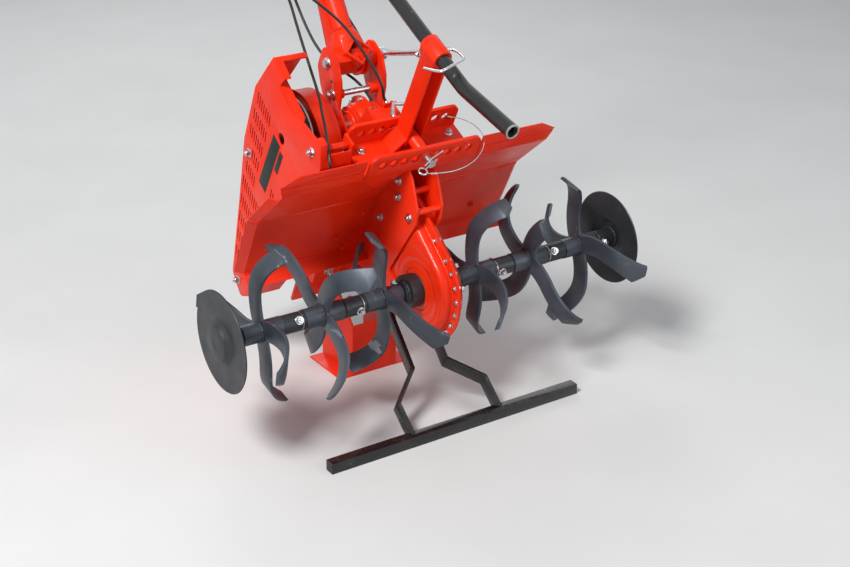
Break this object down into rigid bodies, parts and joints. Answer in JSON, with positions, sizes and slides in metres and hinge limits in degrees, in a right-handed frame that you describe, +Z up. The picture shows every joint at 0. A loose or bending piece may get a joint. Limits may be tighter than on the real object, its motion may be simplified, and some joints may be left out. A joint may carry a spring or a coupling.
{
  "type": "walk-behind rotavator",
  "caption": "Petrol walk-behind rotavator parked nose-down on its front stand, with a full-width tined rotor, hoods, belt cover, drawbar hitch, depth spur and handlebar column.",
  "frame": {"origin": "middle of the bounding box's base, on the floor", "axes": "+X to the machine's right, +Y the way its nose points when it works, here towards the handlebar's side of the tipped machine, +Z up; the machine stands tipped 62.25 degrees nose-down"},
  "size_m": [1.037, 0.9674, 1.4597],
  "materials": {
    "red_paint": "gloss",
    "black_paint": "gloss",
    "tine_steel": "satin",
    "zinc": "bright",
    "chrome": "polished",
    "engine_alloy": "cast",
    "engine_black": "satin",
    "rubber": "matt"
  },
  "bodies": {
    "chassis": {"belt_cover": "red_paint", "brace_bolt": "zinc", "bumper": "red_paint", "chain_case": "red_paint", "cover_spacer_front": "red_paint", "cover_spacer_rear": "red_paint", "drive_belt": "rubber", "driven_pulley": "engine_alloy", "engine_air_filter": "engine_black", "engine_base": "red_paint", "engine_crankcase": "engine_alloy", "engine_head": "engine_alloy", "engine_muffler": "engine_black", "engine_pulley": "engine_alloy", "engine_starter": "engine_black", "engine_tank": "engine_black", "hitch_bracket": "red_paint", "hitch_pin": "zinc", "hood_left": "red_paint", "hood_right": "red_paint", "input_shaft": "zinc", "pivot_bolt": "zinc", "pulley_guard": "red_paint", "spur_arm": "red_paint", "spur_pin": "zinc", "stand_bolt": "zinc", "support_plate_left": "red_paint", "support_plate_right": "red_paint", "tie_rod": "chrome", "yoke_ear_left": "red_paint", "yoke_ear_right": "red_paint", "yoke_rod": "zinc"},
    "parking_stand": {"parking_stand": "black_paint"},
    "handlebar": {"column_block": "red_paint", "column_tube": "red_paint", "handlebar": "black_paint", "grip_left": "rubber", "grip_right": "rubber"},
    "rotor": {"rotor_axle": "tine_steel", "tines_inner_left": "tine_steel", "tines_inner_right": "tine_steel", "tines_middle_left": "tine_steel", "tines_middle_right": "tine_steel", "tines_outer_left": "tine_steel", "tines_outer_right": "tine_steel", "disc_left": "tine_steel", "disc_right": "tine_steel"},
    "depth_spur": {"depth_spur": "black_paint"}
  },
  "joints": [
    {"name": "rotor_spin", "type": "hinge", "parent": "chassis", "child": "rotor", "pos_m": [0, -0.1857, 0.307], "axis": [1, 0, 0], "continuous": true},
    {"name": "parking_stand_fold", "type": "hinge", "parent": "chassis", "child": "parking_stand", "pos_m": [0, -0.08642, 0.22138], "axis": [1, 0, 0], "range_deg": [0, 70]},
    {"name": "handlebar_height", "type": "hinge", "parent": "chassis", "child": "handlebar", "pos_m": [0, 0.12711, 0.74333], "axis": [1, 0, 0], "range_deg": [-10, 20]},
    {"name": "depth_spur_slide", "type": "slide", "parent": "chassis", "child": "depth_spur", "axis": [0, 0.885, 0.4656], "range_m": [-0.15, 0.06]}
  ]
}
